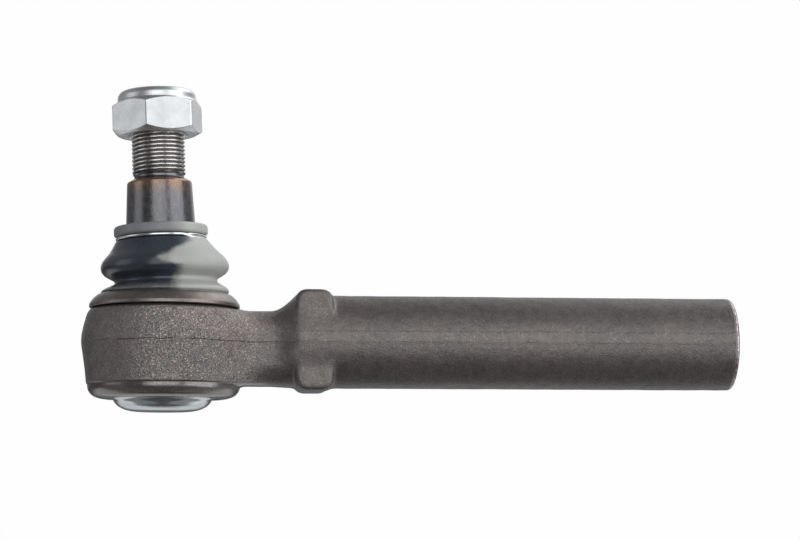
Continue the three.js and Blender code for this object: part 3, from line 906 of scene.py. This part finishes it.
# ball stud
ball = [(17.0 * math.cos(math.radians(a)), 17.0 * math.sin(math.radians(a))) for a in np.linspace(-70.2, 55.0, 40)]
stud_run = [(0.0, -16.0, 0)] + [(r, z, 0) for r, z in ball]
neck = rounded([(9.75, 13.93), (9.0, 15.4, 1.2), (9.0, 26.0, 3.0), (10.2, 31.2, 3.0), (12.9, 35.2, 1.2), (13.09, 37.0, 0.8), (13.09, 41.0, 0.5),
                (12.28, 57.5, 0.4), (12.2, 59.3, 0.3), (11.9, 59.9, 0.3), (10.2, 60.85, 0.3), (9.45, 61.2, 0.3), (9.35, 62.2, 0.3), (9.85, 62.8)], steps=4)
neck = densify(neck, 1.2)
stud_run += [(r, z, 0) for r, z in neck]
stud_run += [(9.98, 63.0, 1), (9.98, 91.6, 1), (9.2, 92.5, 0), (8.5, 93.0, 0), (4.0, 93.0, 0), (3.6, 92.2, 0), (0.0, 91.2, 0)]
stud = thread_body("ball_stud_turned", stud_run, 120, 0.125, 1.5, 0.86, (61.9, 92.2), lean, fade=1.0)
face_out(stud)
set_mat(stud, MAT["stud"])
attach(stud, "stud")
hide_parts("ball_stud")


# lock nut: a turned run pulled in to the hexagon
def build_nut():
    n = 288
    z0, z1 = 77.7, 94.6
    rows = []  # (r, z, kind) kind 1 = hexagon limited, 2 = thread
    under = rounded([(10.25, z0 + 1.0), (11.35, z0, 0.15), (14.5, z0, 0.25), (17.6, z0 + 1.8)], steps=4)
    under = densify(under, 0.35)
    side = [(17.6, z) for z in np.arange(z0 + 2.1, 88.2, 0.45)]
    top = rounded([(17.6, 88.35), (17.0, 88.95, 0.3), (15.75, 89.7, 0.6), (14.95, 90.35, 0.6), (14.75, 91.4, 0.8), (14.62, 92.7, 1.2), (13.75, 94.1, 1.3),
                   (12.5, 94.62, 0.8), (11.75, 94.2, 0.5), (11.7, 93.6, 0.2), (12.85, 93.45, 0.1), (12.85, 89.5, 0.1), (10.25, 89.4, 0.1)], steps=4)
    top = densify(top, 0.5)
    bore = [(10.25, z) for z in np.arange(89.2, z0 + 1.1, -0.2)]
    rows = [(r, z, 1) for r, z in under] + [(r, z, 1) for r, z in side] + [(r, z, 1) for r, z in top] + [(r, z, 2) for r, z in bore]
    if run_area(rows) < 0:
        rows = rows[::-1]
    v, f, idx = lathe_mesh([(a, b) for a, b, _ in rows], n, True)
    kind = np.array([c for _, _, c in rows])[idx]
    ang = np.arctan2(v[:, 1], v[:, 0])
    r = np.hypot(v[:, 0], v[:, 1])
    corner = math.radians(-90 - 30 + 16.9)
    off = np.mod(ang - corner + math.pi / 6, math.pi / 3) - math.pi / 6  # 0 at a corner
    hexr = 15.2 / np.cos(math.pi / 6 - np.abs(off))
    hexr = smin(hexr, np.full_like(hexr, 17.56), 0.10) + 0.02
    outer = kind == 1
    lim = np.where(r > 12.9, smin(r, hexr, 0.16), r)
    new = np.where(outer, lim, r)
    phase = np.mod(v[:, 2] / 1.5 - ang / (2 * math.pi), 1.0)
    ease = np.clip(np.minimum(v[:, 2] - (z0 + 0.6), 89.2 - v[:, 2]) / 0.8, 0, 1)
    new = np.where(kind == 2, r + 0.75 * (1 - thread_wave(phase)) * ease, new)
    v[:, 0] *= new / r
    v[:, 1] *= new / r
    ob = make("lock_nut_plated", to_row(lean(v)), f, 30)
    face_out(ob)
    set_mat(ob, MAT["nut"])
    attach(ob, "nut")
    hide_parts("lock_nut")
    return ob


build_nut()

insert = lathe("nut_insert_ring", rounded([(10.25, 89.9, 0.2), (12.6, 89.9, 0.2), (12.6, 93.15, 0.3), (11.6, 93.3, 0.5), (10.25, 92.9, 0.5)], True, 4), 128, True, lean)
face_out(insert)
set_mat(insert, MAT["nylon"])
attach(insert, "nut_core")
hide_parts("nut_insert")


# dust boot
BOOT_CX = ([15.0, 18.3, 22.0, 28.0, 33.0, 37.7, 40.0, 44.0], [0.0, 0.1, 0.45, -0.05, -0.62, -1.50, -1.668, -1.835])
BOOT_TILT = ([15.5, 18.3, 22.0, 28.0, 37.0, 44.0], [0.0, 0.9, 2.1, 2.1, 2.39, 2.39])


def build_boot():
    outer = rounded([
        (13.45, 43.1, 0.25), (17.1, 43.1, 0.5), (17.57, 42.3, 0.6), (17.6, 40.1, 0.6), (17.2, 39.45, 0.4), (15.85, 39.2, 0.3),
        (15.7, 38.3, 0.4), (16.2, 37.75, 0.3), (17.3, 37.45, 0.5), (18.15, 36.0, 1.2), (20.3, 33.1, 2.2), (22.15, 31.3, 2.0), (23.5, 29.5, 1.6), (23.95, 27.8, 1.4), (23.75, 26.4, 0.8),
        (22.8, 24.95, 0.8), (20.9, 23.8, 0.9), (19.35, 22.9, 0.6), (19.15, 22.0, 0.5), (19.5, 21.3, 0.5), (21.3, 20.4, 0.8), (23.1, 19.45, 0.7), (23.9, 18.6, 0.5),
        (23.85, 17.9, 0.3), (23.15, 17.4, 0.2), (23.1, 16.1, 0.2), (22.9, 15.9, 0.2), (18.6, 15.9, 0.2), (18.6, 16.6, 0.3), (20.2, 17.2, 0.4), (20.0, 18.4, 0.6), (18.4, 19.6, 0.8), (17.2, 20.8, 0.8), (17.0, 22.1, 0.8),
        (17.7, 23.7, 1.0), (19.6, 25.3, 1.2), (21.5, 26.7, 1.0), (22.0, 28.0, 1.0), (21.4, 29.3, 1.2), (19.4, 31.6, 1.5), (16.6, 34.3, 1.5), (14.2, 36.3, 1.0), (13.45, 37.5, 0.6),
    ], True, 5)
    run = densify(outer, 0.5, True)
    if run_area(run) < 0:
        run = run[::-1]
    n = 180
    v, f, rows = lathe_mesh(run, n, True)
    ang = np.arctan2(v[:, 1], v[:, 0])
    r = np.hypot(v[:, 0], v[:, 1])
    # a moulded part is never quite round: the bulge is a touch fuller on one side
    bulge = np.exp(-(((v[:, 2] - 27.5) / 4.0) ** 2))
    r2 = r + bulge * (0.10 * np.cos(2 * ang + 0.7) + 0.06 * np.cos(3 * ang + 2.0))
    # the nick in the lip at the left of the front
    a0 = math.radians(-90 - 66)
    da = np.mod(ang - a0 + math.pi, 2 * math.pi) - math.pi
    nick = np.exp(-((da / 0.024) ** 2)) * np.exp(-(((v[:, 2] - 41.8) / 0.75) ** 2)) * (r > 16)
    r2 = r2 - 1.1 * nick
    z = v[:, 2]
    cx = np.interp(z, *BOOT_CX)
    t = np.radians(np.interp(z, *BOOT_TILT))
    c = r2 * np.cos(ang)
    p = np.stack([cx + c * np.cos(t), r2 * np.sin(ang), z * np.cos(t) + c * np.sin(t)], 1)
    ob = make("dust_boot_moulded", to_row(p), f, 60)
    face_out(ob)
    edge = np.clip((z - 38.9) / 0.5, 0, 1)
    foot = np.clip((20.6 - z) / 1.2, 0, 1) * np.clip((r - 20) / 2.0, 0, 1)
    # how far round from the edge of the painted reflection, in degrees: the painted reflection covers the right and
    # the back
    az = np.mod(np.degrees(np.arctan2(np.cos(ang), -np.sin(ang))) + 90, 360) - 90
    rim = np.interp(z, [16.0, 21.5, 25.0, 26.3, 27.6, 29.5, 32.7, 36.0, 38.5, 39.5, 43.0], [8.0, 11.0, 15.0, 15.0, 2.0, -3.0, 12.0, 34.0, 40.0, 26.0, 22.0])
    side = np.minimum(az - rim, 196.0 - az)
    for name, val in (("lip_and_painted_reflection", edge), ("foot", foot), ("side", side)):
        a = ob.data.attributes.new(name, "FLOAT", "POINT")
        a.data.foreach_set("value", val.astype(np.float32))
    set_mat(ob, MAT["boot"])
    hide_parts("dust_boot")
    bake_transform(ob)
    return ob


boot = build_boot()

# the wire ring under the lip, its ends overlapping at the right of the front
theta = np.linspace(math.radians(-90 + 38), math.radians(-90 + 38 + 360 + 52), 240)
turn = (theta - theta[0]) / (2 * math.pi)
lap = np.clip((turn - 0.97) / 0.06, 0, 1)
lap = lap * lap * (3 - 2 * lap)
rad_ = 16.42 + 0.35 * lap
path = np.stack([rad_ * np.cos(theta), rad_ * np.sin(theta), 38.55 - 1.28 * lap], 1)
wire = sweep("boot_clamp_wire", lean(path), 0.64)
face_out(wire)
set_mat(wire, MAT["wire"])
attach(wire, "boot_collar")
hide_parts("boot_upper_clamp")

press = lathe("boot_press_ring_formed", densify(rounded([
    (22.35, 12.25, 0.1), (27.9, 12.25, 0.2), (28.1, 12.55, 0.1), (28.1, 13.5, 0.8), (26.8, 15.5, 1.5), (25.2, 16.9, 0.8), (24.3, 17.3, 0.3), (23.6, 17.2, 0.2),
    (23.4, 15.6, 0.2), (22.35, 15.55, 0.1)], True, 5), 1.2, True), 160, True)
face_out(press)
set_mat(press, MAT["press"])
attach(press, "socket")
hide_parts("boot_press_ring")

cap = lathe("end_cap_pressed", densify(rounded([
    (0.0, -24.4), (14.4, -24.4, 1.0), (15.8, -23.0, 1.0), (15.8, -18.5, 0.2), (23.0, -18.5, 0.2), (23.0, -20.25, 0.3), (20.6, -20.25, 0.1), (20.6, -21.35, 0.3), (19.3, -21.45, 0.8),
    (18.4, -22.0, 0.8), (17.9, -23.0, 1.0), (16.5, -24.5, 1.8), (14.0, -25.75, 2.0), (10.8, -26.4, 1.5), (0.0, -26.6)], False, 6), 0.9), 160, False,
    lambda v: v + [-0.4, 0, 0])
face_out(cap)
set_mat(cap, MAT["cap"])
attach(cap, "socket")
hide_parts("end_cap")

for n_, mat in (("upper_ball_seat", "acetal"), ("lower_ball_seat", "acetal"), ("pressure_plate", "stud"), ("preload_spring", "spring"), ("cover_seal_ring", "nitrile")):
    set_mat(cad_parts[n_], MAT[mat])


# ---------------------------------------------------------------- stage, light, camera
def emissive(name, colour, strength):
    m = bpy.data.materials.new(name)
    m.use_nodes = True
    nt = m.node_tree
    nt.nodes.clear()
    out = node(nt, "ShaderNodeOutputMaterial")
    e = node(nt, "ShaderNodeEmission")
    e.inputs["Color"].default_value = (*colour, 1)
    e.inputs["Strength"].default_value = strength
    link(nt, e.outputs[0], out.inputs[0])
    return m


def only_camera(ob):
    ob.visible_diffuse = False
    ob.visible_glossy = False
    ob.visible_transmission = False
    ob.visible_volume_scatter = False
    ob.visible_shadow = False


def stage():
    bpy.ops.mesh.primitive_uv_sphere_add(segments=64, ring_count=32, radius=9.0, location=(-0.1, 0, 0))
    dome = bpy.context.object
    dome.name = "backdrop"
    set_mat(dome, emissive("backdrop_paper", (1.0, 1.0, 1.0), 0.99))
    only_camera(dome)


stage()


def studio_world():
    """White card walls around the part, as bands of direction. Azimuth 0 is the camera's side, + to its right."""
    world = bpy.data.worlds.new("studio")
    scene.world = world
    world.use_nodes = True
    wn = world.node_tree
    bg = wn.nodes["Background"]
    tc = node(wn, "ShaderNodeTexCoord")
    x, y, z = separate(wn, tc.outputs["Generated"])
    az = maths(wn, "MULTIPLY", maths(wn, "ARCTAN2", x, maths(wn, "MULTIPLY", y, -1.0)), 57.2958)
    el = maths(wn, "MULTIPLY", maths(wn, "ARCSINE", z), 57.2958)

    def window(v, lo, hi, soft):
        a = map_range(wn, v, lo - soft, lo + soft, 0.0, 1.0, True)
        b = map_range(wn, v, hi - soft, hi + soft, 1.0, 0.0, True)
        return maths(wn, "MULTIPLY", a, b)

    def box(az0, az1, sa, el0, el1, se, strength):
        w = maths(wn, "MULTIPLY", window(az, az0, az1, sa), window(el, el0, el1, se))
        return maths(wn, "MULTIPLY", w, strength)

    rear = maths(wn, "MAXIMUM", map_range(wn, az, 132, 150, 0.0, 1.0, True), map_range(wn, az, -166, -148, 1.0, 0.0, True))
    low_rear = maths(wn, "MAXIMUM", map_range(wn, az, 106, 122, 0.0, 1.0, True), map_range(wn, az, -122, -106, 1.0, 0.0, True))
    parts = [
        box(-26, 23, 3, -24, 44, 6, PANEL_A),
        box(33, 86, 3, -26, 48, 6, PANEL_B),
        box(86, 150, 10, -10, 24, 10, RIGHT),
        box(86, 150, 10, 30, 66, 8, RIGHT_HIGH),
        box(-96, -64, 7, -8, 30, 7, LEFT),
        box(-150, -96, 8, 4, 60, 8, LEFT_BACK),
        maths(wn, "MULTIPLY", maths(wn, "MULTIPLY", rear, window(el, 2, 62, 8)), BACK),
        maths(wn, "MULTIPLY", maths(wn, "MULTIPLY", low_rear, window(el, -52, -20, 6)), BACK_LOW),
        box(62, 140, 10, -82, -14, 8, TABLE_R),
        box(-140, -60, 10, -82, -14, 8, TABLE_L),
    ]
    total = map_range(wn, z, -0.6, 0.5, LOW, HIGH)
    for p in parts:
        total = maths(wn, "ADD", total, p)
    bg.inputs["Color"].default_value = (0.97, 1.0, 1.03, 1)
    link(wn, total, bg.inputs["Strength"])


PANEL_A, PANEL_B, RIGHT, RIGHT_HIGH, LEFT, LEFT_BACK = 1.75, 1.95, 0.22, 2.0, 1.02, 0.18
BACK, BACK_LOW, TABLE_R, TABLE_L, LOW, HIGH = 0.68, 0.74, 0.24, 0.18, 0.07, 0.15
studio_world()

cam = bpy.data.cameras.new("camera")
cam_ob = bpy.data.objects.new("camera", cam)
scene.collection.objects.link(cam_ob)
cam.sensor_width = 36.0
cam.lens = 2153.5 * 36.0 / 800.0
cam.clip_start, cam.clip_end = 0.05, 50
eye = Vector(to_row([11.24, -808.83, -56.85]))
target = Vector(to_row([88.58, 0.0, 27.80]))
cam_ob.location = eye
cam_ob.rotation_mode = "QUATERNION"
cam_ob.rotation_quaternion = (target - eye).to_track_quat("-Z", "Y")
scene.camera = cam_ob
